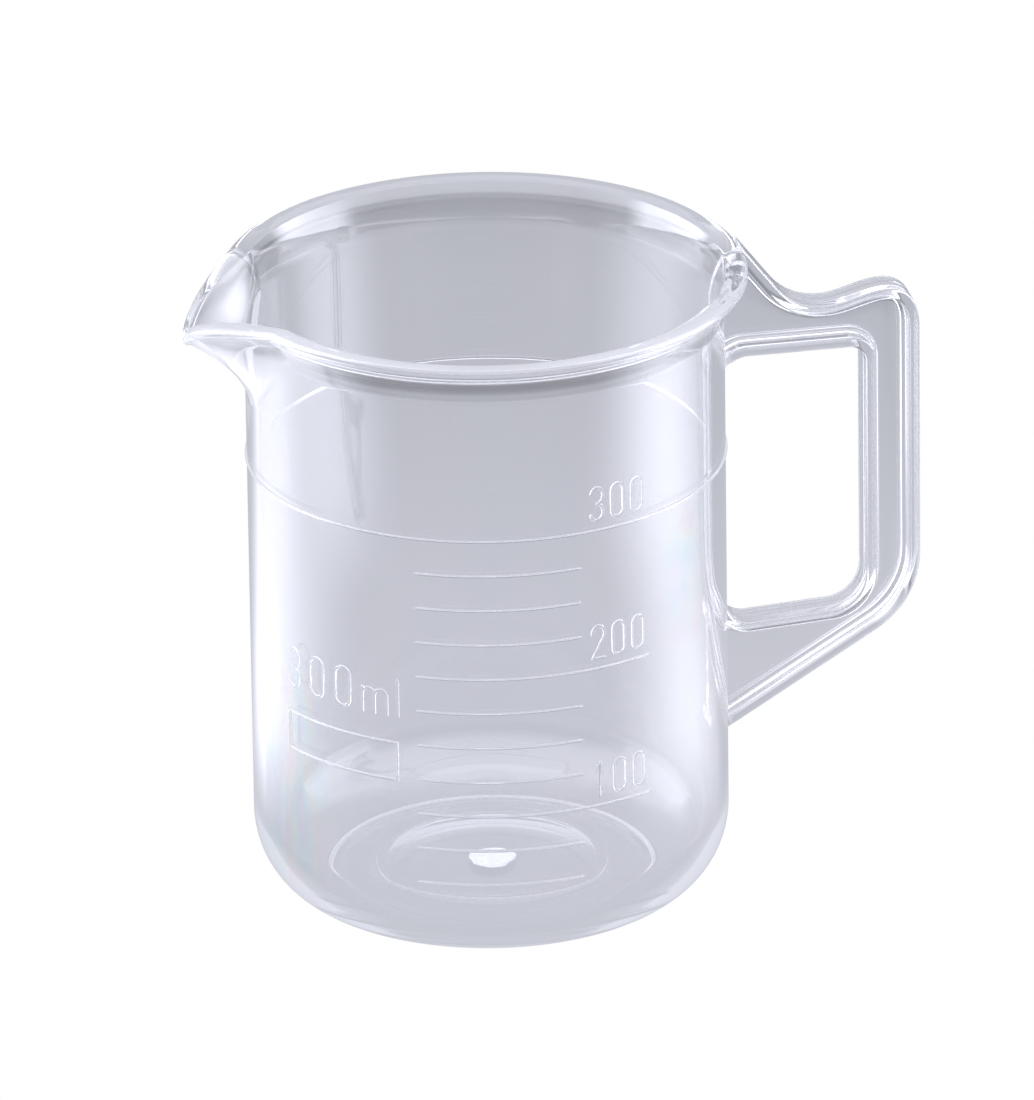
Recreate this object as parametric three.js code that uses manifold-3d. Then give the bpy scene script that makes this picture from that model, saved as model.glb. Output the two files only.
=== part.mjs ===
// Clear plastic beaker, 300 ml, with a pouring spout and an I-section handle.
// Millimetres, +Z up. The origin is on the vessel's axis, in the plane that the foot ring stands on.
// The handle reaches along +X, the spout along -X, and the graduations face -Y.
import * as THREE from "three";
import { mergeVertices } from "three/addons/utils/BufferGeometryUtils.js";
import Module from "manifold-3d";

const wasm = await Module();
wasm.setup();

// ---------------------------------------------------------------- driving dimensions, mm and degrees

const HEIGHT = 106; // foot to the crest of the lip
const BODY_R = 38.5; // outside of the straight wall
const WALL = 1.9;
const FLOOR = 2.9; // inside floor above the standing plane
const CORNER = { out: 11, up: 13 }; // quarter ellipse between the underside and the wall
const INSIDE_CREASE = 5; // degrees: how steeply the inside corner leaves the flat floor
const FOOT = { inner: 26.4, recess: 0.7, chamfer: 0.5 }; // ring that stands on the table

// The flare above the straight wall, outside and inside: steps out from the wall, and heights.
const FLARE_OUT = [
  [0, 98],
  [0.05, 98.8],
  [0.25, 99.6],
  [0.59, 100.5],
  [1.06, 101.5],
  [1.5, 102.2],
  [2.05, 102.8],
  [3.5, 103.95],
];
const FLARE_IN = [
  [0, 98.3],
  [0.1, 99.3],
  [0.3, 100.3],
  [0.6, 101.5],
  [0.98, 102.7],
  [1.45, 103.9],
  [2.2, 105.45],
];

// The lip's section on the round rim, from the outside edge below to the inside edge, as steps out
// and up from the outside top edge of the lip.
const RIM_R = 42.3;
const LIP = [
  [-0.3, -1.65],
  [0, -1.2],
  [0, -0.4],
  [-0.4, 0.2],
  [-1.3, 0.4],
  [-2.5, 0.25],
  [-3.5, -0.15],
];
// The same at the spout's tip, where the lip is slimmer.
const SPOUT_LIP = [
  [-0.3, -1.5],
  [0, -1.1],
  [0, -0.35],
  [-0.5, 0.2],
  [-1.1, 0.35],
  [-1.7, 0.3],
  [-2.3, 0.05],
];
const LIP_EDGE_Z = HEIGHT - 0.4;

// The spout: half its angle at the rim, the reach and drop of its tip, and the powers that shape the
// lip between the tip and the round rim, seen from above and from the front.
const SPOUT = {
  half: 25.5,
  reach: 49.2,
  drop: 7.7,
  plan: 1.36,
  front: 0.75,
  start: 86,
  bend: 91.5,
  tilt: 58,
};

const MARK = { gap: 0.1, height: 0.45, stroke: 0.55 }; // raised lines and figures on the wall
const FULL_MARK_Z = 75.2; // the 300 ml ring
const MARK_STEP = 5.97; // 25 ml
const HANDLE_GAP = 0.1;

const HANDLE = { width: 6.2, flange: 1.9, web: 1.7, round: 0.5 };

const DEG = Math.PI / 180;

// ---------------------------------------------------------------- solids

const CLEAR = { color: 0xdfe3ea, roughness: 0.06, metalness: 0 };

function toSolid(geometry) {
  const bare = geometry.index ? geometry.toNonIndexed() : geometry.clone();
  bare.deleteAttribute("normal");
  bare.deleteAttribute("uv");
  const merged = mergeVertices(bare, 1e-4);
  return new wasm.Manifold(
    new wasm.Mesh({
      numProp: 3,
      vertProperties: merged.attributes.position.array,
      triVerts: new Uint32Array(merged.index.array),
    }),
  );
}

function toGeometry(solid) {
  const { vertProperties, triVerts } = solid.getMesh();
  const geometry = new THREE.BufferGeometry();
  geometry.setAttribute("position", new THREE.BufferAttribute(vertProperties, 3));
  geometry.setIndex(new THREE.BufferAttribute(triVerts, 1));
  const flat = geometry.toNonIndexed();
  flat.computeVertexNormals();
  return flat;
}

function joined(geometries) {
  return toGeometry(geometries.map(toSolid).reduce((all, next) => all.add(next)));
}

const beaker = new THREE.Group();

function addPart(name, geometry, look = CLEAR) {
  const mesh = new THREE.Mesh(geometry, new THREE.MeshStandardMaterial(look));
  mesh.name = name;
  beaker.add(mesh);
}

// A flat band of even width along a line of points.
function band(points, width) {
  const left = [];
  const right = [];
  points.forEach((point, i) => {
    const before = points[Math.max(i - 1, 0)];
    const after = points[Math.min(i + 1, points.length - 1)];
    const into = point.clone().sub(before).normalize();
    const out = after.clone().sub(point).normalize();
    const along = into.add(out).normalize();
    const turn = after.clone().sub(point).normalize().dot(along) || 1;
    const reach = width / 2 / Math.max(turn, 0.45);
    const side = new THREE.Vector2(-along.y, along.x).multiplyScalar(reach);
    left.push(point.clone().add(side));
    right.push(point.clone().sub(side));
  });
  return new THREE.Shape([...right, ...left.reverse()]);
}

// ---------------------------------------------------------------- vessel

const smooth = (t) => t * t * (3 - 2 * t);
const mix = (a, b, t) => a + (b - a) * t;

// The lip's outside top edge at an angle from the spout's axis: plan position along the spout (s) and
// across it (h), height, the plan direction that faces outwards, and how far the lip is tilted.
function lipEdge(side) {
  const u = Math.min(Math.abs(side) / (SPOUT.half * DEG), 1);
  if (u > 1 - 1e-9) {
    const [c, k] = [Math.cos(side), Math.sin(side)];
    return { s: RIM_R * c, h: RIM_R * k, z: LIP_EDGE_Z, out: [c, k], tilt: 0, u };
  }
  const rootS = RIM_R * Math.cos(SPOUT.half * DEG);
  const rootH = RIM_R * Math.sin(SPOUT.half * DEG);
  const h = rootH * u;
  const s = SPOUT.reach - (SPOUT.reach - rootS) * u ** SPOUT.plan;
  const slope = ((SPOUT.reach - rootS) * SPOUT.plan * u ** (SPOUT.plan - 1)) / rootH;
  const length = Math.hypot(1, slope);
  const sign = Math.sign(side);
  return {
    s,
    h: sign * h,
    z: LIP_EDGE_Z - SPOUT.drop * (1 - u ** SPOUT.front),
    out: [1 / length, (sign * slope) / length],
    tilt: SPOUT.tilt * DEG * (1 - u),
    u,
  };
}

// The vessel's closed section at an angle from the spout's axis, as points (s, h, z) from the middle
// of the underside, up the outside, over the lip and down the inside to the middle of the floor.
function vesselSection(side) {
  const radial = (r, z) => new THREE.Vector3(r * Math.cos(side), r * Math.sin(side), z);
  const edge = lipEdge(side);
  const round = smooth(edge.u);
  const lip = LIP.map((step, i) => {
    const [out, up] = step.map((value, k) => mix(SPOUT_LIP[i][k], value, round));
    const o = out * Math.cos(edge.tilt) + up * Math.sin(edge.tilt);
    const z = up * Math.cos(edge.tilt) - out * Math.sin(edge.tilt);
    return new THREE.Vector3(edge.s + o * edge.out[0], edge.h + o * edge.out[1], edge.z + z);
  });
  // One side of the flare: the spout's own long curve at its middle, the round rim's away from it.
  const flare = (r, steps, lift, end) => {
    const last = steps.length - 1;
    const off = end.clone().sub(radial(r + steps[last][0], steps[last][1]));
    const long = new THREE.QuadraticBezierCurve3(radial(r, SPOUT.start), radial(r, SPOUT.bend + lift), end);
    return long.getPoints(last).map((point, k) => {
      const short = radial(r + steps[k][0], steps[k][1]).addScaledVector(off, (k / last) ** 2);
      return point.lerp(short, round);
    });
  };
  const inner = BODY_R - WALL;
  const corner = (r, low, out, up, leave = 0) =>
    [0, 0.2, 0.4, 0.6, 0.8, 1].map((t) => {
      const a = mix(leave * DEG, Math.PI / 2, t);
      return radial(r - out + out * Math.sin(a), low + up * (Math.cos(leave * DEG) - Math.cos(a)));
    });
  return [
    radial(0, FOOT.recess),
    radial(FOOT.inner - FOOT.chamfer, FOOT.recess),
    radial(FOOT.inner, 0),
    ...corner(BODY_R, 0, CORNER.out, CORNER.up),
    ...flare(BODY_R, FLARE_OUT, 0, lip[0]),
    ...lip.slice(1, -1),
    ...flare(inner, FLARE_IN, WALL / 2, lip[lip.length - 1]).reverse(),
    ...corner(inner, FLOOR, CORNER.out - WALL, CORNER.up - FLOOR + 1, INSIDE_CREASE).reverse(),
    radial(0, FLOOR),
  ];
}

// Angles from the spout's axis, closer together across the spout.
function vesselAngles() {
  const spoutSteps = 14;
  const roundSteps = 74;
  const half = SPOUT.half * DEG;
  const across = Array.from({ length: spoutSteps }, (_, i) => mix(-half, half, i / spoutSteps));
  const around = Array.from({ length: roundSteps + 1 }, (_, i) =>
    mix(half, 2 * Math.PI - half, i / roundSteps),
  );
  return [...across, ...around];
}

// A lathe whose section changes with the angle. s runs along -X and h along -Y.
function vesselGeometry() {
  const angles = vesselAngles();
  const profile = vesselSection(Math.PI).map((p) => new THREE.Vector2(Math.hypot(p.x, p.y), p.z));
  const lathe = new THREE.LatheGeometry(profile, angles.length - 1);
  const position = lathe.getAttribute("position");
  angles.forEach((angle, i) => {
    const side = angle > Math.PI ? angle - 2 * Math.PI : angle;
    vesselSection(side).forEach((p, j) => {
      position.setXYZ(i * profile.length + j, -p.x, -p.y, p.z);
    });
  });
  lathe.computeVertexNormals();
  return lathe;
}

addPart("vessel", vesselGeometry());

// On the inside floor: a low flat ring round the gate mark, and the gate's own frosted disc.
function ring(inner, outer, low, high, segments) {
  const profile = [
    [inner, low],
    [outer, low],
    [outer, high],
    [inner, high],
    [inner, low],
  ].map(([r, z]) => new THREE.Vector2(r, z));
  return new THREE.LatheGeometry(profile, segments).rotateX(Math.PI / 2);
}

const FLOOR_MARK = { low: FLOOR + 0.05, high: FLOOR + 0.4, ring: [16.9, 18.8], gate: 4 };
addPart("floor_ring", ring(...FLOOR_MARK.ring, FLOOR_MARK.low, FLOOR_MARK.high, 72));
addPart(
  "gate_mark",
  new THREE.CylinderGeometry(FLOOR_MARK.gate, FLOOR_MARK.gate, FLOOR_MARK.high - FLOOR_MARK.low, 32)
    .rotateX(Math.PI / 2)
    .translate(0, 0, (FLOOR_MARK.low + FLOOR_MARK.high) / 2),
  { color: 0xf2f3f5, roughness: 0.7, metalness: 0 },
);

// ---------------------------------------------------------------- raised marks on the wall

const MARK_R = BODY_R + MARK.gap;

// Bends a flat solid onto the wall: x runs round the wall from the -Y side, y is up, z is outwards.
function wrapped(geometry) {
  const position = geometry.getAttribute("position");
  for (let i = 0; i < position.count; i++) {
    const angle = position.getX(i) / BODY_R;
    const r = MARK_R + position.getZ(i);
    position.setXYZ(i, r * Math.sin(angle), -r * Math.cos(angle), position.getY(i));
  }
  geometry.computeVertexNormals();
  return geometry;
}

const raised = (shape) =>
  new THREE.ExtrudeGeometry(shape, { depth: MARK.height, bevelEnabled: false, curveSegments: 8 });

// A straight bar on the wall between two places round it and two heights, cut often enough to follow
// the wall.
function bar(x0, x1, z0, z1) {
  const cuts = Math.ceil((x1 - x0) / 2.5);
  const flat = new THREE.BoxGeometry(x1 - x0, z1 - z0, MARK.height, cuts, 1, 1);
  return wrapped(flat.translate((x0 + x1) / 2, (z0 + z1) / 2, MARK.height / 2));
}

// The graduations: a ring at 300 ml, short lines every 25 ml, and long lines under 200 and 100.
const LINES = { from: -19.4, short: 7.9, long: 20.7 };
addPart(
  "graduation_300",
  ring(MARK_R, MARK_R + MARK.height, FULL_MARK_Z - MARK.stroke, FULL_MARK_Z, 96),
);
for (let ml = 275; ml >= 50; ml -= 25) {
  const z = FULL_MARK_Z - ((300 - ml) / 25) * MARK_STEP;
  const end = ml % 100 === 0 ? LINES.long : LINES.short;
  addPart(`graduation_${String(ml).padStart(3, "0")}`, bar(LINES.from, end, z - MARK.stroke, z));
}

// Figures and letters are bands along these strokes, in a cell w wide and h high.
const path = (build) => {
  const stroke = new THREE.Path();
  build(stroke);
  return stroke.getPoints(6);
};
const GLYPHS = {
  1: (w, h) => [path((p) => p.moveTo(w * 0.1, h * 0.78).lineTo(w * 0.6, h).lineTo(w * 0.6, 0))],
  2: (w, h) => [
    path((p) => {
      p.moveTo(0, h * 0.75);
      p.absellipse(w / 2, h * 0.75, w / 2, h * 0.25, Math.PI, -0.2 * Math.PI, true);
      p.lineTo(w * 0.05, 0).lineTo(w, 0);
    }),
  ],
  3: (w, h) => [
    path((p) => p.absellipse(w / 2, h * 0.75, w / 2, h * 0.25, 0.9 * Math.PI, -0.5 * Math.PI, true)),
    path((p) => p.absellipse(w / 2, h * 0.25, w / 2, h * 0.25, 0.5 * Math.PI, -0.9 * Math.PI, true)),
  ],
  m: (w, h) => [
    path((p) => p.moveTo(0, 0).lineTo(0, h)),
    path((p) => {
      p.moveTo(0, h - w / 4);
      p.absarc(w / 4, h - w / 4, w / 4, Math.PI, 0, true);
      p.lineTo(w / 2, 0);
    }),
    path((p) => {
      p.moveTo(w / 2, h - w / 4);
      p.absarc((w * 3) / 4, h - w / 4, w / 4, Math.PI, 0, true);
      p.lineTo(w, 0);
    }),
  ],
  l: (w, h) => [path((p) => p.moveTo(w / 2, h).lineTo(w / 2, 0))],
};

// A zero is a ring with round ends, and so needs a hole and not a stroke.
function zeroShape(w, h) {
  const outline = (inset) => (p) => {
    const r = w / 2 - inset;
    p.absarc(w / 2, h - w / 2, r, 0, Math.PI, false);
    p.absarc(w / 2, w / 2, r, Math.PI, 2 * Math.PI, false);
    p.closePath();
    return p;
  };
  const shape = outline(-MARK.stroke / 2)(new THREE.Shape());
  shape.holes.push(outline(MARK.stroke / 2)(new THREE.Path()));
  return shape;
}

function glyph(letter, w, h, x, z) {
  const shapes = letter === "0" ? [zeroShape(w, h)] : GLYPHS[letter](w, h).map((s) => band(s, MARK.stroke));
  return wrapped(joined(shapes.map(raised)).translate(x, z, 0));
}

// 300, 200 and 100 above the right-hand ends of their lines.
const FIGURE = { w: 2.2, h: 5.6, pitch: 3.75, from: 9.6, above: 1.5 };
for (const ml of [300, 200, 100]) {
  const z = FULL_MARK_Z - ((300 - ml) / 25) * MARK_STEP + FIGURE.above;
  [...String(ml)].forEach((digit, i) => {
    const x = FIGURE.from + i * FIGURE.pitch;
    addPart(`figure_${ml}_digit_${i + 1}`, glyph(digit, FIGURE.w, FIGURE.h, x, z));
  });
}

// The capacity, 300 ml, left of the lines, and a plain frame under it.
const CAPACITY = {
  z: 43.6,
  digit: [2.9, 6.7],
  pitch: 5.5,
  from: -45.1,
  m: { size: [4.4, 4.2], from: -28.8 },
  l: { size: [0.6, 6.3], from: -22.8 },
};
const FRAME = { left: -45.5, right: -22.4, low: 32.3, high: 39.3 };
["3", "0", "0"].forEach((digit, i) => {
  const x = CAPACITY.from + i * CAPACITY.pitch;
  addPart(`capacity_digit_${i + 1}`, glyph(digit, ...CAPACITY.digit, x, CAPACITY.z));
});
for (const letter of ["m", "l"]) {
  const { size, from } = CAPACITY[letter];
  addPart(`capacity_letter_${letter}`, glyph(letter, ...size, from, CAPACITY.z));
}

const { left, right, low, high } = FRAME;
addPart(
  "plain_frame",
  joined([
    bar(left, right, low, low + MARK.stroke),
    bar(left, right, high - MARK.stroke, high),
    bar(left, left + MARK.stroke, low, high),
    bar(right - MARK.stroke, right, low, high),
  ]),
);

// ---------------------------------------------------------------- handle

// Middle lines of the two flanges, drawn in the X-Z plane. Both start and end inside the vessel's wall
// and are cut back to it.
function outerFlangeLine() {
  const line = new THREE.Path();
  line.moveTo(38, 110.1).lineTo(46.7, 98.7);
  line.bezierCurveTo(48.8, 96, 52, 94.6, 55.2, 94.6); // dip for the thumb
  line.bezierCurveTo(59, 94.6, 62, 96.6, 65.6, 96.6); // thumb stop
  line.bezierCurveTo(68.6, 96.6, 69.9, 94.2, 69.9, 90.5);
  line.absarc(55.3, 51.2, 14.6, 0, -59 * DEG, true);
  line.lineTo(36, 22.6);
  return line.getPoints(6);
}

function innerFlangeLine() {
  const line = new THREE.Path();
  line.absarc(42.5, 83.85, 5, Math.PI, Math.PI / 2, true); // upper root
  line.absarc(59.25, 85.35, 3.5, Math.PI / 2, 0, true);
  line.absarc(55.75, 48.3, 7, 0, -86.6 * DEG, true);
  line.absarc(42.5, 45.5, 5, -86.6 * DEG, -Math.PI, true); // lower root
  return line.getPoints(6);
}

// A flat shape in the X-Z plane, thick along Y and centred on it, with its long edges rounded.
function plate(shape, thickness, round = 0) {
  const geometry = new THREE.ExtrudeGeometry(shape, {
    depth: thickness - 2 * round,
    bevelEnabled: round > 0,
    bevelThickness: round,
    bevelSize: round,
    bevelOffset: -round,
    bevelSegments: 2,
  });
  return geometry.translate(0, 0, round - thickness / 2).rotateX(Math.PI / 2);
}

// What the handle must stay clear of: the vessel's outside, and everything above the lip.
function vesselClearance() {
  const outside = vesselSection(Math.PI)
    .slice(3, -1)
    .map((p) => new THREE.Vector2(Math.hypot(p.x, p.y) + HANDLE_GAP, p.z - HANDLE_GAP));
  const highest = outside.findIndex((p) => p.y >= LIP_EDGE_Z - 1);
  const above = HEIGHT + 20;
  const profile = [
    new THREE.Vector2(0, 0),
    ...outside.slice(0, highest + 1),
    new THREE.Vector2(RIM_R + HANDLE_GAP, above),
    new THREE.Vector2(0, above),
  ];
  return new THREE.LatheGeometry(profile, 144).rotateX(Math.PI / 2);
}

function handleGeometry() {
  const outer = outerFlangeLine();
  const inner = innerFlangeLine();
  const web = new THREE.Shape([...outer, ...inner.slice().reverse()]);
  const { width, flange, round } = HANDLE;
  const solids = [
    plate(band(outer, flange), width, round),
    plate(band(inner, flange), width, round),
    plate(web, HANDLE.web),
  ].map(toSolid);
  const whole = solids.reduce((all, next) => all.add(next));
  return toGeometry(whole.subtract(toSolid(vesselClearance())));
}

addPart("handle", handleGeometry());

export default beaker;
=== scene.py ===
"""Looks of the clear plastic beaker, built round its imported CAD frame.

Metres, +Z up, the foot on z = 0. The handle reaches along +X and the spout along -X.
The shape helpers work in millimetres and to_mesh() turns them into metres.
"""

import math

import bmesh
import bpy
import numpy as np
from mathutils import Matrix, Vector
from mathutils.bvhtree import BVHTree
from mathutils.interpolate import poly_3d_calc


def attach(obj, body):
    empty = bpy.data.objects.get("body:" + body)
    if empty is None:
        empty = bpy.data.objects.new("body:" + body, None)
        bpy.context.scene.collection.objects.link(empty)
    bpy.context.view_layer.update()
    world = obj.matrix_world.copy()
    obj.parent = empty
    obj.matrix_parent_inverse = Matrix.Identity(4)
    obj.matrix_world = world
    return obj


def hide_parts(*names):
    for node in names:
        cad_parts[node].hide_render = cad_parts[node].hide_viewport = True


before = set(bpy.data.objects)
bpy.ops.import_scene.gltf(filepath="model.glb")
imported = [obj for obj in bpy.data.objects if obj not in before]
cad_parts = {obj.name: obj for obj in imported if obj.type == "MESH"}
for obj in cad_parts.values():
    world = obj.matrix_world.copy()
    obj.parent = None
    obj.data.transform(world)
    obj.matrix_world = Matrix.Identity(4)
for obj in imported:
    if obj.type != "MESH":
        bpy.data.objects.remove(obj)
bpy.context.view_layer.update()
scene = bpy.context.scene
MM = 0.001

# ------------------------------------------------------------------ camera

CAMERA_AZIMUTH = math.radians(-11.0)
CAMERA_DISTANCE = 2.7058
CAMERA_ELEVATION = 0.42594
CAMERA_YAW, CAMERA_PITCH, CAMERA_ROLL = -0.001919, 0.4066012, 0.0139605
CAMERA_LENS = 544.8


def make_camera():
    data = bpy.data.cameras.new("camera")
    data.sensor_width = 36
    data.lens = CAMERA_LENS
    data.clip_start, data.clip_end = 0.05, 50
    camera = bpy.data.objects.new("camera", data)
    scene.collection.objects.link(camera)
    turn = Matrix.Rotation(CAMERA_AZIMUTH, 3, "Z")
    level = CAMERA_DISTANCE * math.cos(CAMERA_ELEVATION)
    place = turn @ Vector((0, -level, CAMERA_DISTANCE * math.sin(CAMERA_ELEVATION)))
    aim = (
        turn
        @ Matrix.Rotation(CAMERA_YAW, 3, "Z")
        @ Matrix.Rotation(-CAMERA_PITCH, 3, "X")
        @ Matrix.Rotation(CAMERA_ROLL, 3, "Y")
    )
    right, forward, up = aim.col[0], aim.col[1], aim.col[2]
    basis = Matrix((right, up, -forward)).transposed()
    camera.matrix_world = Matrix.Translation(place) @ basis.to_4x4()
    scene.camera = camera


make_camera()
scene.view_settings.view_transform = "Standard"
scene.view_settings.look = "None"

# ------------------------------------------------------------------ dimensions, mm and degrees

HEIGHT = 106.0
BODY_R = 38.5
WALL = 1.9
FLOOR = 2.9
CORNER_OUT, CORNER_UP = 11.0, 13.0
FOOT_INNER, FOOT_RECESS, FOOT_CHAMFER = 26.4, 0.7, 0.5
# The rim's flare: its outer and inner side as steps out from the straight wall, each with its height.
FLARE_OUT = [
    *((0, 98), (0.05, 98.8), (0.25, 99.6), (0.59, 100.5)),
    *((1.06, 101.5), (1.47, 102.2), (1.95, 102.9), (3.5, 104.3)),
]
FLARE_IN = [
    *((0, 97.8), (0.08, 99.2), (0.3, 100.3), (0.6, 101.5)),
    *((0.98, 102.7), (1.45, 103.9), (2.2, 105.45)),
]
RIM_R = 42.3
# The lip's section, from below outside to inside, as steps out and up from its outside top edge:
# on the round rim, then in the middle of the spout.
LIP = [(-0.3, -1.3), (0, -0.85), (0, -0.35), (-0.4, 0.2), (-1.3, 0.4), (-2.5, 0.25), (-3.5, -0.15)]
SPOUT_LIP = [(-0.3, -1.5), (0, -1.1), (0, -0.35), (-0.5, 0.2), (-1.1, 0.35), (-1.7, 0.3), (-2.3, 0.05)]
LIP_EDGE_Z = HEIGHT - 0.4
SPOUT_HALF = math.radians(25.5)
SPOUT_REACH, SPOUT_DROP, SPOUT_PLAN, SPOUT_FRONT = 49.2, 7.7, 1.36, 0.75
SPOUT_START, SPOUT_BEND, SPOUT_TILT = 86.0, 91.5, math.radians(58)
FLARE_CUTS = 3

FULL_MARK_Z = 75.2
MARK_STEP = 5.97
MARK_STROKE = 0.55

# ------------------------------------------------------------------ mesh helpers


def link(obj):
    scene.collection.objects.link(obj)
    return obj


def to_mesh(name, points, faces):
    mesh = bpy.data.meshes.new(name)
    mesh.from_pydata([Vector(p) * MM for p in points], [], faces)
    mesh.validate()
    bm = bmesh.new()
    bm.from_mesh(mesh)
    bmesh.ops.remove_doubles(bm, verts=bm.verts, dist=1e-7)
    bmesh.ops.recalc_face_normals(bm, faces=bm.faces)
    if bm.calc_volume(signed=True) < 0:
        bmesh.ops.reverse_faces(bm, faces=bm.faces)
    bm.to_mesh(mesh)
    bm.free()
    return link(bpy.data.objects.new(name, mesh))


def smooth(t):
    return t * t * (3 - 2 * t)


def mix(a, b, t):
    return a + (b - a) * t


def bezier3(p, q, r, steps):
    return [(1 - t) ** 2 * p + 2 * t * (1 - t) * q + t * t * r for t in np.linspace(0, 1, steps + 1)]


def catmull(points, steps, before, after):
    """A smooth curve through the points; before and after lead into and out of it."""
    p = [before, *points, after]
    out = []
    for i in range(1, len(p) - 2):
        for t in np.linspace(0, 1, steps, endpoint=False):
            a, b, c, d = p[i - 1], p[i], p[i + 1], p[i + 2]
            square, cube = 2 * a - 5 * b + 4 * c - d, 3 * b - a - 3 * c + d
            out.append(0.5 * (2 * b + (c - a) * t + square * t**2 + cube * t**3))
    return [*out, points[-1]]


# ------------------------------------------------------------------ vessel


def lip_edge(side):
    """The lip's outside top edge at an angle from the spout: place, outward direction and tilt."""
    u = min(abs(side) / SPOUT_HALF, 1)
    if u > 1 - 1e-9:
        c, k = math.cos(side), math.sin(side)
        return RIM_R * c, RIM_R * k, LIP_EDGE_Z, (c, k), 0.0, u
    root_s, root_h = RIM_R * math.cos(SPOUT_HALF), RIM_R * math.sin(SPOUT_HALF)
    h = root_h * u
    s = SPOUT_REACH - (SPOUT_REACH - root_s) * u**SPOUT_PLAN
    slope = (SPOUT_REACH - root_s) * SPOUT_PLAN * u ** (SPOUT_PLAN - 1) / root_h
    length = math.hypot(1, slope)
    sign = math.copysign(1, side)
    z = LIP_EDGE_Z - SPOUT_DROP * (1 - u**SPOUT_FRONT)
    return s, sign * h, z, (1 / length, sign * slope / length), SPOUT_TILT * (1 - u), u


# The inside floor from its corner to the middle: a low ring, as radius and height above the floor.
RING_UP = 0.14
FLOOR_LINE = [
    *((27.0, 0), (24.0, 0), (18.88, 0), (18.82, 0.03), (18.76, 0.11), (18.7, RING_UP)),
    *((17.0, RING_UP), (16.94, 0.11), (16.88, 0.03), (16.82, 0), (8, 0)),
]
INNER_CORNER_LEAVE = math.radians(5)
SPOUT_COLUMNS, ROUND_COLUMNS = 60, 220


def vessel_section(side):
    """The vessel's closed section at an angle from the spout, from under the floor to above it."""

    def radial(r, z):
        return np.array([r * math.cos(side), r * math.sin(side), z])

    s, h, z, out, tilt, u = lip_edge(side)
    lip = []
    for round_lip, spout_lip in zip(LIP, SPOUT_LIP):
        o, up = (mix(a, b, smooth(u)) for a, b in zip(spout_lip, round_lip))
        across = o * math.cos(tilt) + up * math.sin(tilt)
        lift = up * math.cos(tilt) - o * math.sin(tilt)
        lip.append(np.array([s + across * out[0], h + across * out[1], z + lift]))
    inner = BODY_R - WALL

    def flare(r, steps, lift, end):
        """One side of the flare: the spout's long curve near the spout, and the round rim's elsewhere."""
        rows = [radial(r + out, h) for out, h in steps]
        rows = [p + (end - rows[-1]) * (k / (len(rows) - 1)) ** 2 for k, p in enumerate(rows)]
        round_side = catmull(rows, FLARE_CUTS, radial(r, steps[0][1] - 1), 2 * end - rows[-2])
        cuts = len(round_side) - 1
        spout_side = bezier3(radial(r, SPOUT_START), radial(r, SPOUT_BEND + lift), end, cuts)
        return [mix(p, q, smooth(u)) for p, q in zip(spout_side, round_side)]

    flare_out = flare(BODY_R, FLARE_OUT, 0, lip[0])
    flare_in = flare(inner, FLARE_IN, WALL / 2, lip[-1])
    rounded_lip = catmull(lip, 5, flare_out[-3], 2 * lip[-1] - lip[-2])

    def corner(r, low, across, up, leave=0.0):
        turns = np.linspace(leave, math.pi / 2, 19)
        high = low + up - up * (1 - math.cos(leave))
        return [radial(r - across + across * math.sin(a), high - up * math.cos(a)) for a in turns]

    wall_out = [radial(BODY_R, h) for h in np.linspace(CORNER_UP, flare_out[0][2], 8)[1:-1]]
    inner_up = CORNER_UP - FLOOR + 1
    corner_in = corner(inner, FLOOR, CORNER_OUT - WALL, inner_up, INNER_CORNER_LEAVE)
    wall_in = [radial(inner, h) for h in np.linspace(corner_in[-1][2], flare_in[0][2], 8)[1:-1]]
    return [
        radial(0, FOOT_RECESS),
        radial(14, FOOT_RECESS),
        radial(FOOT_INNER - FOOT_CHAMFER - 0.25, FOOT_RECESS),
        radial(FOOT_INNER - FOOT_CHAMFER, FOOT_RECESS - 0.06),
        radial(FOOT_INNER, 0.12),
        radial(FOOT_INNER + 0.2, 0),
        *corner(BODY_R, 0, CORNER_OUT, CORNER_UP),
        *wall_out,
        *flare_out[:-1],
        *rounded_lip,
        *flare_in[::-1][1:],
        *wall_in[::-1],
        *corner_in[::-1],
        *[radial(r, FLOOR + up) for r, up in FLOOR_LINE],
        radial(0, FLOOR),
    ]


def vessel_object():
    across = np.linspace(-SPOUT_HALF, SPOUT_HALF, SPOUT_COLUMNS, endpoint=False)
    around = np.linspace(SPOUT_HALF, 2 * math.pi - SPOUT_HALF, ROUND_COLUMNS, endpoint=False)
    angles = [a if a <= math.pi else a - 2 * math.pi for a in [*across, *around]]
    sections = [vessel_section(a) for a in angles]
    rows = len(sections[0])
    points, faces = [(-x, -y, z) for section in sections for x, y, z in section], []
    for i in range(len(angles)):
        j = (i + 1) % len(angles)
        for k in range(rows - 1):
            a, b, c, d = i * rows + k, i * rows + k + 1, j * rows + k + 1, j * rows + k
            if k == 0:
                faces.append((a, b, c))
            elif k == rows - 2:
                faces.append((a, b, d))
            else:
                faces.append((a, b, c, d))
    return to_mesh("vessel_shape", points, faces)


# ------------------------------------------------------------------ raised marks


def resample(points, step=1.0):
    out = [np.array(points[0], float)]
    for p in points[1:]:
        p = np.array(p, float)
        cuts = max(1, math.ceil(np.linalg.norm(p - out[-1]) / step))
        a = out[-1]
        out += [a + (p - a) * i / cuts for i in range(1, cuts + 1)]
    return out


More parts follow.
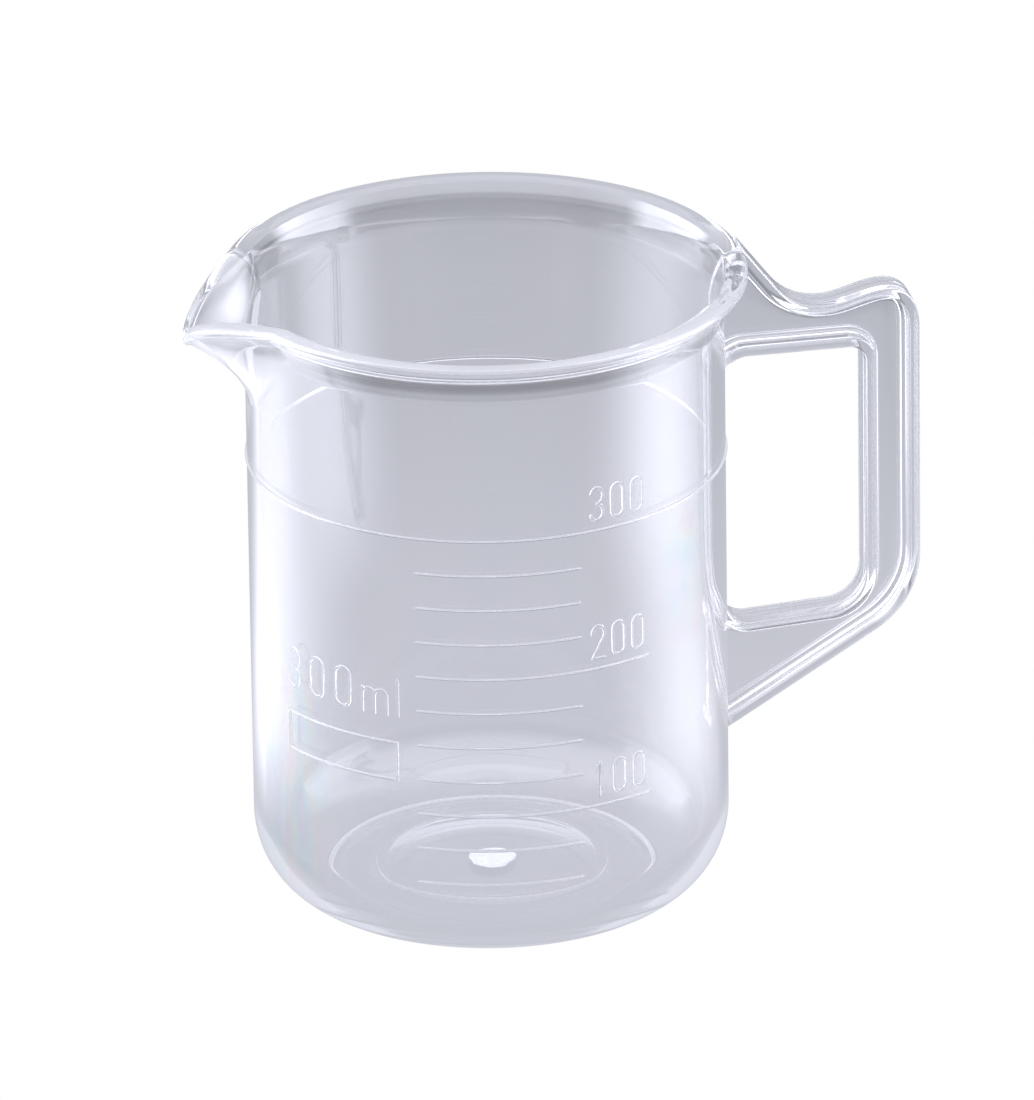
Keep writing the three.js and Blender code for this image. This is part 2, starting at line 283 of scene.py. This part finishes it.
MARK_SECTION = 16
MARK_PROUD = 0.42
FIGURE_PROUD = 0.3
FIGURE_STROKE = 0.62
MARK_SINK = 0.1
END_STEPS = [(0.42, 0.45), (0.25, 0.8)]  # a bead's rounded end: how far out, and how big there
LINE_FROM, LINE_SHORT, LINE_LONG = -19.1, 7.6, 20.4
FIGURE = {"w": 2.2, "h": 5.6, "pitch": 3.75, "from": 9.6, "above": 1.5}
CAPACITY = {"w": 2.9, "h": 6.7, "pitch": 5.5, "from": -45.1, "z": 43.6}
CAPACITY_LETTERS = [("m", 4.4, 4.2, -28.8), ("l", 0.6, 6.3, -22.8)]
FRAME_LEFT, FRAME_RIGHT, FRAME_LOW, FRAME_HIGH = -45.5, -22.4, 32.3, 39.3


def tube(name, points, width=MARK_STROKE, closed=False, proud=MARK_PROUD):
    """A low rounded bead on the wall along a flat line: x runs round the wall from -Y, y is up."""
    pts = resample([*points, points[0]] if closed else points)
    if closed:
        pts = pts[:-1]
    n = len(pts)
    rings = []

    def ring(p, across, scale):
        loop = []
        for i in range(MARK_SECTION):
            a = 2 * math.pi * i / MARK_SECTION
            flat = p + across * (width / 2 * scale * math.cos(a))
            depth = -MARK_SINK + proud * scale * math.sin(a)
            loop.append((flat[0], flat[1], depth))
        return loop

    for i, p in enumerate(pts):
        before = pts[i - 1] if closed or i else p
        after = pts[(i + 1) % n] if closed or i < n - 1 else p
        a = (p - before) / (np.linalg.norm(p - before) or 1)
        b = (after - p) / (np.linalg.norm(after - p) or 1)
        along = (a + b) / np.linalg.norm(a + b)
        stretch = 1 / max(np.dot(b if np.any(b) else a, along), 0.6)
        across = np.array([-along[1], along[0]]) * stretch
        if not closed and i == 0:
            rings += [ring(p - along * width * back, across, size) for back, size in END_STEPS]
        rings.append(ring(p, across, 1))
        if not closed and i == n - 1:
            rings += [ring(p + along * width * on, across, size) for on, size in END_STEPS[::-1]]
    points3 = []
    for loop in rings:
        for x, y, depth in loop:
            r, a = BODY_R + depth, x / BODY_R
            points3.append((r * math.sin(a), -r * math.cos(a), y))
    m, faces = MARK_SECTION, []
    count = len(rings)
    for i in range(count if closed else count - 1):
        j = (i + 1) % count
        for k in range(m):
            q = (k + 1) % m
            faces.append((i * m + k, i * m + q, j * m + q, j * m + k))
    if not closed:
        faces += [tuple(range(m))[::-1], tuple((count - 1) * m + k for k in range(m))]
    return to_mesh(name, points3, faces)


def ellipse(cx, cy, rx, ry, a0, a1, steps=18):
    turns = np.linspace(a0 * math.pi, a1 * math.pi, steps)
    return [(cx + rx * math.cos(a), cy + ry * math.sin(a)) for a in turns]


def strokes(letter, w, h):
    """Each stroke of a figure or letter: its points in a cell w wide and h high, and if it is closed."""
    if letter == "0":
        top = ellipse(w / 2, h - w / 2, w / 2, w / 2, 0, 1)
        low = ellipse(w / 2, w / 2, w / 2, w / 2, 1, 2)
        return [(top + low, True)]
    if letter == "1":
        return [([(w * 0.1, h * 0.78), (w * 0.52, h * 0.985), (w * 0.6, h * 0.96), (w * 0.6, 0)], False)]
    if letter == "2":
        bow = ellipse(w / 2, h * 0.75, w / 2, h * 0.25, 1, -0.2)
        return [([(0, h * 0.75), *bow[1:], (w * 0.05, 0.06), (w * 0.12, 0), (w, 0)], False)]
    if letter == "3":
        upper = ellipse(w / 2, h * 0.75, w / 2, h * 0.25, 0.9, -0.5)
        lower = ellipse(w / 2, h * 0.25, w / 2, h * 0.25, 0.5, -0.9)
        return [(upper, False), (lower, False)]
    if letter == "m":
        left = ellipse(w / 4, h - w / 4, w / 4, w / 4, 1, 0)
        right = ellipse(w * 0.75, h - w / 4, w / 4, w / 4, 1, 0)
        return [
            ([(0, 0), (0, h)], False),
            ([(0, h - w / 4), *left[1:], (w / 2, 0)], False),
            ([(w / 2, h - w / 4), *right[1:], (w, 0)], False),
        ]
    return [([(w / 2, h), (w / 2, 0)], False)]


def full_ring():
    """The 300 ml ring: a bead right round the wall."""
    m, count = MARK_SECTION, 280
    points, faces = [], []
    z = FULL_MARK_Z - MARK_STROKE / 2
    for i in range(count):
        a = 2 * math.pi * i / count
        for k in range(m):
            b = 2 * math.pi * k / m
            r = BODY_R - MARK_SINK + MARK_PROUD * math.sin(b)
            points.append((r * math.sin(a), -r * math.cos(a), z + MARK_STROKE / 2 * math.cos(b)))
            q, j = (k + 1) % m, (i + 1) % count
            faces.append((i * m + k, i * m + q, j * m + q, j * m + k))
    return to_mesh("full_ring", points, faces)


def mark_objects():
    marks = [full_ring()]
    for n in range(1, 11):
        z = FULL_MARK_Z - n * MARK_STEP - MARK_STROKE / 2
        end = LINE_LONG if (300 - 25 * n) % 100 == 0 else LINE_SHORT
        marks.append(tube(f"line_{n}", [(LINE_FROM, z), (end, z)]))
    f, c = FIGURE, CAPACITY
    for row, digits in ((0, "300"), (4, "200"), (8, "100")):
        z = FULL_MARK_Z - row * MARK_STEP + f["above"]
        for i, d in enumerate(digits):
            marks += glyph(d, f["w"], f["h"], f["from"] + i * f["pitch"], z)
    for i, d in enumerate("300"):
        marks += glyph(d, c["w"], c["h"], c["from"] + i * c["pitch"], c["z"])
    for letter, w, h, x in CAPACITY_LETTERS:
        marks += glyph(letter, w, h, x, c["z"])
    inset = MARK_STROKE / 2
    x0, x1 = FRAME_LEFT + inset, FRAME_RIGHT - inset
    z0, z1 = FRAME_LOW + inset, FRAME_HIGH - inset
    marks.append(tube("plain_frame", [(x0, z0), (x1, z0), (x1, z1), (x0, z1)], closed=True))
    return marks


def glyph(letter, w, h, x, z):
    return [
        tube(f"glyph_{letter}", [(x + a, z + b) for a, b in points], FIGURE_STROKE, closed, FIGURE_PROUD)
        for points, closed in strokes(letter, w, h)
    ]


# ------------------------------------------------------------------ handle

# Halves of the flanges' thickness and width and of the web's thickness, then the small radii.
FLANGE_T, FLANGE_W, WEB_T = 0.95, 3.1, 0.85
EDGE_R, FILLET = 0.5, 1.0


def arc(cx, cz, r, a0, a1, steps):
    turns = np.linspace(math.radians(a0), math.radians(a1), steps)
    return [(cx + r * math.cos(a), cz + r * math.sin(a)) for a in turns]


def cubic(p, q, r, s, steps):
    p, q, r, s = map(np.array, (p, q, r, s))
    t = np.linspace(0, 1, steps)[:, None]
    pts = (1 - t) ** 3 * p + 3 * t * (1 - t) ** 2 * q + 3 * t * t * (1 - t) * r + t**3 * s
    return [tuple(x) for x in pts]


def along(a, b, turns):
    return [tuple(mix(np.array(a), np.array(b), t)) for t in turns]


def outer_line():
    """The outer flange's middle line: from inside the rim, the dip and stop for the thumb, the back."""
    top, dip = (38, 110.1), (46.7, 98.7)
    bend = arc(55.3, 51.2, 14.6, 0, -59, 24)
    return [
        top,
        *along(top, dip, (0.25, 0.5, 0.75)),
        *cubic(dip, (48.8, 96), (52, 94.6), (55.2, 94.6), 14),
        *cubic((55.2, 94.6), (59, 94.6), (62, 96.6), (65.6, 96.6), 14)[1:],
        *cubic((65.6, 96.6), (68.6, 96.6), (69.9, 94.2), (69.9, 90.5), 14)[1:],
        *[(69.9, z) for z in np.linspace(90.5, 51.2, 14)[1:-1]],
        *bend,
        *along(bend[-1], (36, 22.6), np.linspace(0, 1, 10)[1:]),
    ]


def inner_line():
    """The inner flange's middle line, round the finger opening from its upper to its lower root."""
    top = arc(42.5, 83.85, 5, 180, 90, 14)
    corner = arc(59.25, 85.35, 3.5, 90, 0, 14)
    bottom = arc(55.75, 48.3, 7, 0, -86.6, 18)
    root = arc(42.5, 45.5, 5, -86.6, -180, 14)

    def between(a, b, n):
        return along(a, b, np.linspace(0, 1, n)[1:-1])

    return [
        *top,
        *between(top[-1], corner[0], 6),
        *corner,
        *between(corner[-1], bottom[0], 12),
        *bottom,
        *between(bottom[-1], root[0], 6),
        *root,
    ]


def flange_profile():
    """A flange's section from the web on one side round to the web on the other: (towards web, y)."""
    half = []
    for a in np.linspace(0, math.pi / 2, 7):
        half.append((FLANGE_T + FILLET - FILLET * math.sin(a), WEB_T + FILLET - FILLET * math.cos(a)))
    for a in np.linspace(0, math.pi / 2, 6):
        half.append((FLANGE_T - EDGE_R + EDGE_R * math.cos(a), FLANGE_W - EDGE_R + EDGE_R * math.sin(a)))
    for a in np.linspace(math.pi / 2, math.pi, 6):
        half.append((-FLANGE_T + EDGE_R + EDGE_R * math.cos(a), FLANGE_W - EDGE_R + EDGE_R * math.sin(a)))
    half.append((-FLANGE_T, 1.2))
    return [*half, *[(n, -y) for n, y in half[::-1]]]


def handle_object():
    profile = flange_profile()
    m = len(profile)
    points, faces = [], []
    feet = []
    for line, inward in ((outer_line(), 1), (inner_line(), -1)):
        line = [np.array(p, float) for p in line]
        first = len(points)
        for i, p in enumerate(line):
            a = line[max(i - 1, 0)]
            b = line[min(i + 1, len(line) - 1)]
            ahead = (b - a) / np.linalg.norm(b - a)
            web = np.array([ahead[1], -ahead[0]]) * inward
            for n, y in profile:
                q = p + web * n
                points.append((q[0], y, q[1]))
        count = len(line)
        for i in range(count - 1):
            for k in range(m - 1):
                a = first + i * m + k
                faces.append((a, a + 1, a + m + 1, a + m))
        faces.append(tuple(first + k for k in range(m)))
        faces.append(tuple(first + (count - 1) * m + k for k in range(m))[::-1])
        feet.append([first + i * m for i in range(count)])
    outer, inner = feet
    for lift in (0, m - 1):
        faces.append(tuple(i + lift for i in outer) + tuple(i + lift for i in inner[::-1]))
    for i in (0, -1):
        faces.append((outer[i], outer[i] + m - 1, inner[i] + m - 1, inner[i]))
    return to_mesh("handle_shape", points, faces)


def lathe(name, profile, count):
    """A closed solid of revolution from (r, z) points that start and end on the axis."""
    points, faces = [], []
    rows = len(profile)
    for i in range(count):
        a = 2 * math.pi * i / count
        points += [(r * math.cos(a), r * math.sin(a), z) for r, z in profile]
    for i in range(count):
        j = (i + 1) % count
        for k in range(rows - 1):
            a, b, c, d = i * rows + k, i * rows + k + 1, j * rows + k + 1, j * rows + k
            faces.append((a, b, c) if k == 0 else (a, b, d) if k == rows - 2 else (a, b, c, d))
    return to_mesh(name, points, faces)


CORE_LOW, CORE_HIGH = -5.0, 125.0
CORE_RIM = [(38.9, 102.3), (40.2, 104.0), (41.2, 104.9), (41.5, 105.5), (41.9, 107.0)]


def core_object():
    """Everything inside the middle of the wall, and above the lip: what the handle must not fill."""
    middle = BODY_R - WALL / 2
    wall = [(0.0, CORE_LOW), (middle, CORE_LOW), (middle, 98.7), (middle + 0.4, 100.5)]
    return lathe("core_shape", [*wall, *CORE_RIM, (CORE_RIM[-1][0], CORE_HIGH), (0.0, CORE_HIGH)], 200)


# ------------------------------------------------------------------ joining


def boolean(target, tool, operation):
    change = target.modifiers.new("join", "BOOLEAN")
    change.solver = "MANIFOLD"
    change.operation = operation
    change.object = tool
    dg = bpy.context.evaluated_depsgraph_get()
    mesh = bpy.data.meshes.new_from_object(target.evaluated_get(dg))
    target.modifiers.clear()
    target.data = mesh
    bpy.data.objects.remove(tool)


def make_moulding():
    body = vessel_object()
    source = body.data.copy()
    handle = handle_object()
    handle_source = handle.data.copy()
    boolean(handle, core_object(), "DIFFERENCE")
    boolean(body, handle, "UNION")
    for mark in mark_objects():
        boolean(body, mark, "UNION")
    body.name = body.data.name = "beaker_moulding"
    return body, [source, handle_source]


def finish_mesh(obj, angle):
    bm = bmesh.new()
    bm.from_mesh(obj.data)
    bmesh.ops.remove_doubles(bm, verts=bm.verts, dist=2e-6)
    bmesh.ops.dissolve_degenerate(bm, edges=bm.edges, dist=1e-6)
    for f in bm.faces:
        f.smooth = True
    for e in bm.edges:
        e.smooth = len(e.link_faces) == 2 and e.calc_face_angle(0) < angle
    bm.to_mesh(obj.data)
    bm.free()


SAME_PLACE = 2e-5  # metres between a face and the shape it comes from
SAME_FACING, SAME_CORNER = 0.97, 0.96  # cosines between their directions
BIG_FACE = 8  # corners: a face with more is flat


def follow_sources(obj, shapes):
    """Gives the faces that come from each shape the smooth normals it had before the joining."""
    mesh = obj.data
    split = [Vector(c.vector) for c in mesh.corner_normals]
    taken = [False] * len(mesh.polygons)
    for source in shapes:
        faces = [p.vertices for p in source.polygons]
        tree = BVHTree.FromPolygons([v.co for v in source.vertices], faces)
        normals = [v.normal.copy() for v in source.vertices]
        corners = [[source.vertices[i].co for i in p.vertices] for p in source.polygons]
        for poly in mesh.polygons:
            if taken[poly.index]:
                continue
            place, _, index, _ = tree.find_nearest(poly.center, SAME_PLACE)
            if place is None or source.polygons[index].normal.dot(poly.normal) < SAME_FACING:
                continue
            taken[poly.index] = True
            for loop in poly.loop_indices:
                corner = mesh.vertices[mesh.loops[loop].vertex_index].co
                spot, _, face, _ = tree.find_nearest(corner)
                if len(corners[face]) > BIG_FACE:
                    normal = source.polygons[face].normal
                else:
                    weights = poly_3d_calc(corners[face], spot)
                    normal = Vector((0, 0, 0))
                    for w, i in zip(weights, source.polygons[face].vertices):
                        normal += normals[i] * w
                    normal.normalize()
                if normal.dot(poly.normal) > SAME_CORNER:
                    split[loop] = normal
    mesh.normals_split_custom_set(split)


MOULDING_SHARP, GATE_SHARP = math.radians(32), math.radians(60)
moulding, sources = make_moulding()
finish_mesh(moulding, MOULDING_SHARP)
follow_sources(moulding, sources)

# ------------------------------------------------------------------ gate mark

GATE_R = 3.9 * 0.97


def gate_object():
    """The low rough spot that the mould's gate leaves in the middle of the floor."""
    count, points, faces = 48, [], []
    rings = [(1.0, 0.0), (0.97, 0.16), (0.86, 0.27), (0.6, 0.31), (0.3, 0.33)]
    for scale, up in rings:
        for i in range(count):
            a = 2 * math.pi * i / count
            wobble = 1 + 0.05 * math.sin(3 * a + 0.6)
            wobble += 0.035 * math.sin(5 * a + 2.1) + 0.02 * math.sin(9 * a)
            r = GATE_R * scale * wobble
            points.append((r * math.cos(a), r * math.sin(a), FLOOR + 0.05 + up))
    m = count
    for i in range(len(rings) - 1):
        for k in range(m):
            q = (k + 1) % m
            faces.append((i * m + k, i * m + q, (i + 1) * m + q, (i + 1) * m + k))
    faces += [tuple(range(m))[::-1], tuple((len(rings) - 1) * m + k for k in range(m))]
    return to_mesh("gate_spot", points, faces)


gate = gate_object()
finish_mesh(gate, GATE_SHARP)

# ------------------------------------------------------------------ materials

PLASTIC_IOR = 1.5


def new_material(name):
    material = bpy.data.materials.new(name)
    material.use_nodes = True
    tree = material.node_tree
    return material, tree, tree.nodes["Principled BSDF"]


def node(tree, kind, **values):
    n = tree.nodes.new(kind)
    for key, value in values.items():
        if key in n.inputs:
            n.inputs[key].default_value = value
        else:
            setattr(n, key, value)
    return n


def noise(tree, scale, detail=2.0, stretch=(1, 1, 1)):
    where = node(tree, "ShaderNodeTexCoord")
    mapping = node(tree, "ShaderNodeMapping")
    mapping.inputs["Scale"].default_value = stretch
    n = node(tree, "ShaderNodeTexNoise", Scale=scale, Detail=detail)
    tree.links.new(where.outputs["Object"], mapping.inputs["Vector"])
    tree.links.new(mapping.outputs["Vector"], n.inputs["Vector"])
    return n.outputs["Fac"]


def ramp(tree, fac, stops):
    n = node(tree, "ShaderNodeValToRGB")
    while len(n.color_ramp.elements) < len(stops):
        n.color_ramp.elements.new(0.5)
    for element, (at, color) in zip(n.color_ramp.elements, stops):
        element.position = at
        element.color = (*color, 1)
    tree.links.new(fac, n.inputs["Fac"])
    return n.outputs["Color"]


def spread(tree, fac, low, high):
    n = node(tree, "ShaderNodeMapRange")
    n.inputs["From Min"].default_value, n.inputs["From Max"].default_value = 0.3, 0.7
    n.inputs["To Min"].default_value, n.inputs["To Max"].default_value = low, high
    tree.links.new(fac, n.inputs["Value"])
    return n.outputs["Result"]


# Where the moulding stress shows as faint colours: centre and reach, metres.
STRESSED = [
    ((-0.036, -0.013, 0.013), 0.013),
    ((-0.036, -0.013, 0.026), 0.014),
    ((-0.035, -0.016, 0.039), 0.012),
    ((0.028, -0.027, 0.056), 0.009),
    ((0.028, -0.027, 0.067), 0.009),
    ((0.036, -0.012, 0.020), 0.009),
]
STRESS_COLORS = [
    (0.34, (1.0, 0.90, 0.93)),
    (0.43, (1.0, 0.98, 0.91)),
    (0.50, (0.90, 1.0, 0.96)),
    (0.57, (0.87, 0.965, 1.0)),
    (0.66, (0.97, 0.91, 1.0)),
]
PLAIN_COLORS = [(0.3, (0.985, 0.99, 1.0)), (0.7, (1.0, 0.995, 1.0))]
FROSTED_COLORS = [(0.35, (0.9, 0.91, 0.94)), (0.65, (1.0, 1.0, 1.0))]


def stress_mask(tree):
    """1 where the plastic is stressed, fading to 0 round each place."""
    where = node(tree, "ShaderNodeTexCoord")
    total = None
    for centre, reach in STRESSED:
        away = node(tree, "ShaderNodeVectorMath", operation="DISTANCE")
        tree.links.new(where.outputs["Object"], away.inputs[0])
        away.inputs[1].default_value = centre
        fade = node(tree, "ShaderNodeMapRange", interpolation_type="SMOOTHSTEP")
        tree.links.new(away.outputs["Value"], fade.inputs["Value"])
        for socket, value in zip(fade.inputs[1:5], (0.3 * reach, reach, 1.0, 0.0)):
            socket.default_value = value
        if total is None:
            total = fade.outputs[0]
        else:
            both = node(tree, "ShaderNodeMath", operation="MAXIMUM")
            tree.links.new(total, both.inputs[0])
            tree.links.new(fade.outputs[0], both.inputs[1])
            total = both.outputs[0]
    return total


def clear_plastic():
    material, tree, shader = new_material("clear_plastic")
    shader.inputs["IOR"].default_value = PLASTIC_IOR
    shader.inputs["Transmission Weight"].default_value = 1.0
    tint = node(tree, "ShaderNodeMix", data_type="RGBA")
    factor, plain, stressed = tint.inputs[0], tint.inputs[6], tint.inputs[7]  # the colour sockets
    tree.links.new(stress_mask(tree), factor)
    tree.links.new(ramp(tree, noise(tree, 38, 1.5, (1, 1, 0.35)), PLAIN_COLORS), plain)
    tree.links.new(ramp(tree, noise(tree, 190, 1.0, (1, 1, 0.4)), STRESS_COLORS), stressed)
    tree.links.new(tint.outputs[2], shader.inputs["Base Color"])
    tree.links.new(spread(tree, noise(tree, 60, 3), 0.0, 0.03), shader.inputs["Roughness"])
    swell = node(tree, "ShaderNodeBump", Strength=0.25, Distance=0.00004)
    tree.links.new(noise(tree, 70, 2, (1, 1, 0.5)), swell.inputs["Height"])
    tree.links.new(swell.outputs["Normal"], shader.inputs["Normal"])
    return material


def frosted_plastic():
    material, tree, shader = new_material("frosted_plastic")
    shader.inputs["IOR"].default_value = PLASTIC_IOR
    shader.inputs["Transmission Weight"].default_value = 0.15
    grain = noise(tree, 900, 6)
    tree.links.new(ramp(tree, grain, FROSTED_COLORS), shader.inputs["Base Color"])
    tree.links.new(spread(tree, grain, 0.45, 0.8), shader.inputs["Roughness"])
    bump = node(tree, "ShaderNodeBump", Strength=0.9, Distance=0.0002)
    tree.links.new(grain, bump.inputs["Height"])
    tree.links.new(bump.outputs["Normal"], shader.inputs["Normal"])
    return material


def dress(obj, material, nodes):
    obj.data.materials.clear()
    obj.data.materials.append(material)
    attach(obj, "root")
    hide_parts(*nodes)


dress(gate, frosted_plastic(), ["gate_mark"])
dress(moulding, clear_plastic(), sorted(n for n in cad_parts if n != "gate_mark"))

# ------------------------------------------------------------------ stage and light

WHITE = (1.0, 1.0, 1.0, 1)
TINT = (0.965, 0.985, 1.09)  # of everything that shows in or through the plastic
STUDIO_TURN = CAMERA_AZIMUTH  # the studio's own axes: lamps stand left and right of this direction

# The table as the plastic shows it, as painted light in the floor's glow: brightness near the object,
# further away and at its end, and the distances between them in metres; beyond it is the backdrop.
TABLE_NEAR, TABLE_FAR, TABLE_END = 0.58, 0.51, 0.25
TABLE_RANGE = (0.10, 0.25, 0.40)
BACKDROP, BACKDROP_RANGE = 0.36, (0.44, 0.60)
# Painted pools of light in the floor's glow beside the object: azimuth (0 towards the lens, positive to the
# right) and half width in degrees, brightness close by and far away.
POOLS = [(90, 40, 2.3, 3.2), (-104, 50, 1.9, 3.4)]
POOL_START, POOL_FAR = (0.05, 0.12), (0.25, 0.80)

# Softboxes: azimuth as above, elevation, half width, half height, softness of the edge, brightness.
SOFTBOXES = [
    (90, 4, 21, 15, 8, 9.0),
    (-102, 7, 23, 16, 8, 9.0),
    (93, 36, 34, 20, 14, 2.0),
    (-101, 36, 38, 20, 14, 2.2),
    (0, 55, 110, 33, 12, 2.6),
]
WORLD_BASE = 0.68
# Darker parts of the room, behind the lens and across, with how much of the light they take away.
DARK = [(0, 7, 60, 10, 10, 1.0), (180, 18, 70, 24, 14, 0.2)]
SEEN_THROUGH = 0.1  # the share of a bright patch that shows straight through the plastic
CALM, CALM_DEPTH = 0.82, (5.5, 9.0)  # the even light deep inside the plastic, and the ray depths it fades in
BOUNCES, EVEN_BOUNCES, EVEN_REACH = 64, 10, 0.0001  # bounces, then an even light with no shadows
CLAMP = 3.0


class Nodes:
    """Short ways to build a tree of node maths."""

    def __init__(self, tree):
        self.tree = tree

    def feed(self, n, *values):
        for socket, value in zip(n.inputs, values):
            if isinstance(value, bpy.types.NodeSocket):
                self.tree.links.new(value, socket)
            elif value is not None:
                socket.default_value = value
        return n

    def math(self, operation, *values):
        return self.feed(node(self.tree, "ShaderNodeMath", operation=operation), *values).outputs[0]

    def add(self, *values):
        total = values[0]
        for value in values[1:]:
            total = self.math("ADD", total, value)
        return total

    def step(self, value, low, high, start=0.0, end=1.0):
        n = node(self.tree, "ShaderNodeMapRange", interpolation_type="SMOOTHSTEP")
        return self.feed(n, value, low, high, start, end).outputs[0]

    def lobe(self, azimuth, centre, half, soft):
        """1 within half a width of an azimuth, fading to 0."""
        turned = self.math("SUBTRACT", azimuth, math.radians(centre))
        turned = self.math("WRAP", turned, math.pi, -math.pi)
        low, high = math.radians(max(half - soft, 0)), math.radians(half + soft)
        return self.step(self.math("ABSOLUTE", turned), low, high, 1.0, 0.0)

    def axes(self, output):
        where = node(self.tree, "ShaderNodeTexCoord")
        turn = node(self.tree, "ShaderNodeVectorRotate", rotation_type="Z_AXIS")
        self.tree.links.new(where.outputs[output], turn.inputs["Vector"])
        turn.inputs["Angle"].default_value = -STUDIO_TURN
        parts = node(self.tree, "ShaderNodeSeparateXYZ")
        self.tree.links.new(turn.outputs[0], parts.inputs[0])
        x, y, z = parts.outputs
        azimuth = self.math("ARCTAN2", x, self.math("MULTIPLY", y, -1.0))
        squares = self.math("MULTIPLY", x, x), self.math("MULTIPLY", y, y)
        flat = self.math("SQRT", self.math("ADD", *squares))
        return azimuth, flat, z

    def mirrored(self, light):
        """The given light in reflections, and little of it where it is only seen through the plastic."""
        path = node(self.tree, "ShaderNodeLightPath")
        depth = self.add(path.outputs["Glossy Depth"], path.outputs["Diffuse Depth"])
        return self.math("MULTIPLY", light, self.step(depth, 0.0, 1.0, SEEN_THROUGH, 1.0))

    def finish(self, light, kind, out):
        """White where it is looked at directly, and the given light in and through the plastic."""
        tinted = node(self.tree, "ShaderNodeVectorMath", operation="SCALE")
        tinted.inputs[0].default_value = TINT
        self.tree.links.new(light, tinted.inputs["Scale"])
        direct, other = node(self.tree, kind), node(self.tree, kind)
        direct.inputs["Color"].default_value = WHITE
        self.tree.links.new(tinted.outputs[0], other.inputs["Color"])
        path = node(self.tree, "ShaderNodeLightPath")
        mixed = node(self.tree, "ShaderNodeMixShader")
        self.tree.links.new(path.outputs["Is Camera Ray"], mixed.inputs["Fac"])
        self.tree.links.new(other.outputs[0], mixed.inputs[1])
        self.tree.links.new(direct.outputs[0], mixed.inputs[2])
        self.tree.links.new(mixed.outputs[0], out.inputs["Surface"])


def make_floor():
    bm = bmesh.new()
    bmesh.ops.create_grid(bm, x_segments=12, y_segments=12, size=6.0)
    mesh = bpy.data.meshes.new("studio_floor")
    bm.to_mesh(mesh)
    bm.free()
    floor = link(bpy.data.objects.new("studio_floor", mesh))
    floor.location.z = -0.0004
    material = bpy.data.materials.new("studio_floor")
    material.use_nodes = True
    tree = material.node_tree
    tree.nodes.clear()
    n = Nodes(tree)
    azimuth, distance, _ = n.axes("Object")
    near, far, end = TABLE_RANGE
    # The floor glows: painted light, brighter near the object and fading further away.
    light = n.add(
        n.step(distance, near, far, TABLE_NEAR, TABLE_FAR),
        n.step(distance, far, end, 0.0, TABLE_END - TABLE_FAR),
        n.step(distance, *BACKDROP_RANGE, 0.0, BACKDROP - TABLE_END),
    )
    # Painted pools of light, added to the floor's glow at the sides.
    for centre, half, low, high in POOLS:
        power = n.math("MULTIPLY", n.step(distance, *POOL_START), n.step(distance, *POOL_FAR, low, high))
        power = n.math("MULTIPLY", power, n.lobe(azimuth, centre, half / 2, half / 2))
        light = n.add(light, n.mirrored(power))
    n.finish(light, "ShaderNodeEmission", node(tree, "ShaderNodeOutputMaterial"))
    mesh.materials.append(material)


def make_world():
    world = bpy.data.worlds.new("studio")
    scene.world = world
    world.use_nodes = True
    tree = world.node_tree
    tree.nodes.clear()
    n = Nodes(tree)
    azimuth, flat, z = n.axes("Generated")
    elevation = n.math("ARCTAN2", z, flat)

    def box(centre, height, wide, high, soft):
        rise = n.math("ABSOLUTE", n.math("SUBTRACT", elevation, math.radians(height)))
        fade = n.step(rise, math.radians(max(high - soft, 0)), math.radians(high + soft), 1.0, 0.0)
        return n.math("MULTIPLY", fade, n.lobe(azimuth, centre, wide, soft))

    light = WORLD_BASE
    for *place, depth in DARK:
        light = n.math("MULTIPLY", light, n.math("SUBTRACT", 1.0, n.math("MULTIPLY", box(*place), depth)))
    for *place, power in SOFTBOXES:
        light = n.add(light, n.mirrored(n.math("MULTIPLY", box(*place), power)))
    # A ray that has been about many times inside the plastic meets an even light.
    fade = n.step(node(tree, "ShaderNodeLightPath").outputs["Ray Depth"], *CALM_DEPTH)
    light = n.add(light, n.math("MULTIPLY", fade, n.math("SUBTRACT", CALM, light)))
    n.finish(light, "ShaderNodeBackground", node(tree, "ShaderNodeOutputWorld"))
    world.light_settings.distance = EVEN_REACH


make_floor()
make_world()
scene.cycles.max_bounces = BOUNCES
scene.cycles.transmission_bounces = BOUNCES
scene.cycles.glossy_bounces = BOUNCES
scene.cycles.transparent_max_bounces = BOUNCES
scene.cycles.sample_clamp_indirect = CLAMP
scene.cycles.use_fast_gi = True
scene.cycles.fast_gi_method = "REPLACE"
scene.cycles.ao_bounces_render = EVEN_BOUNCES
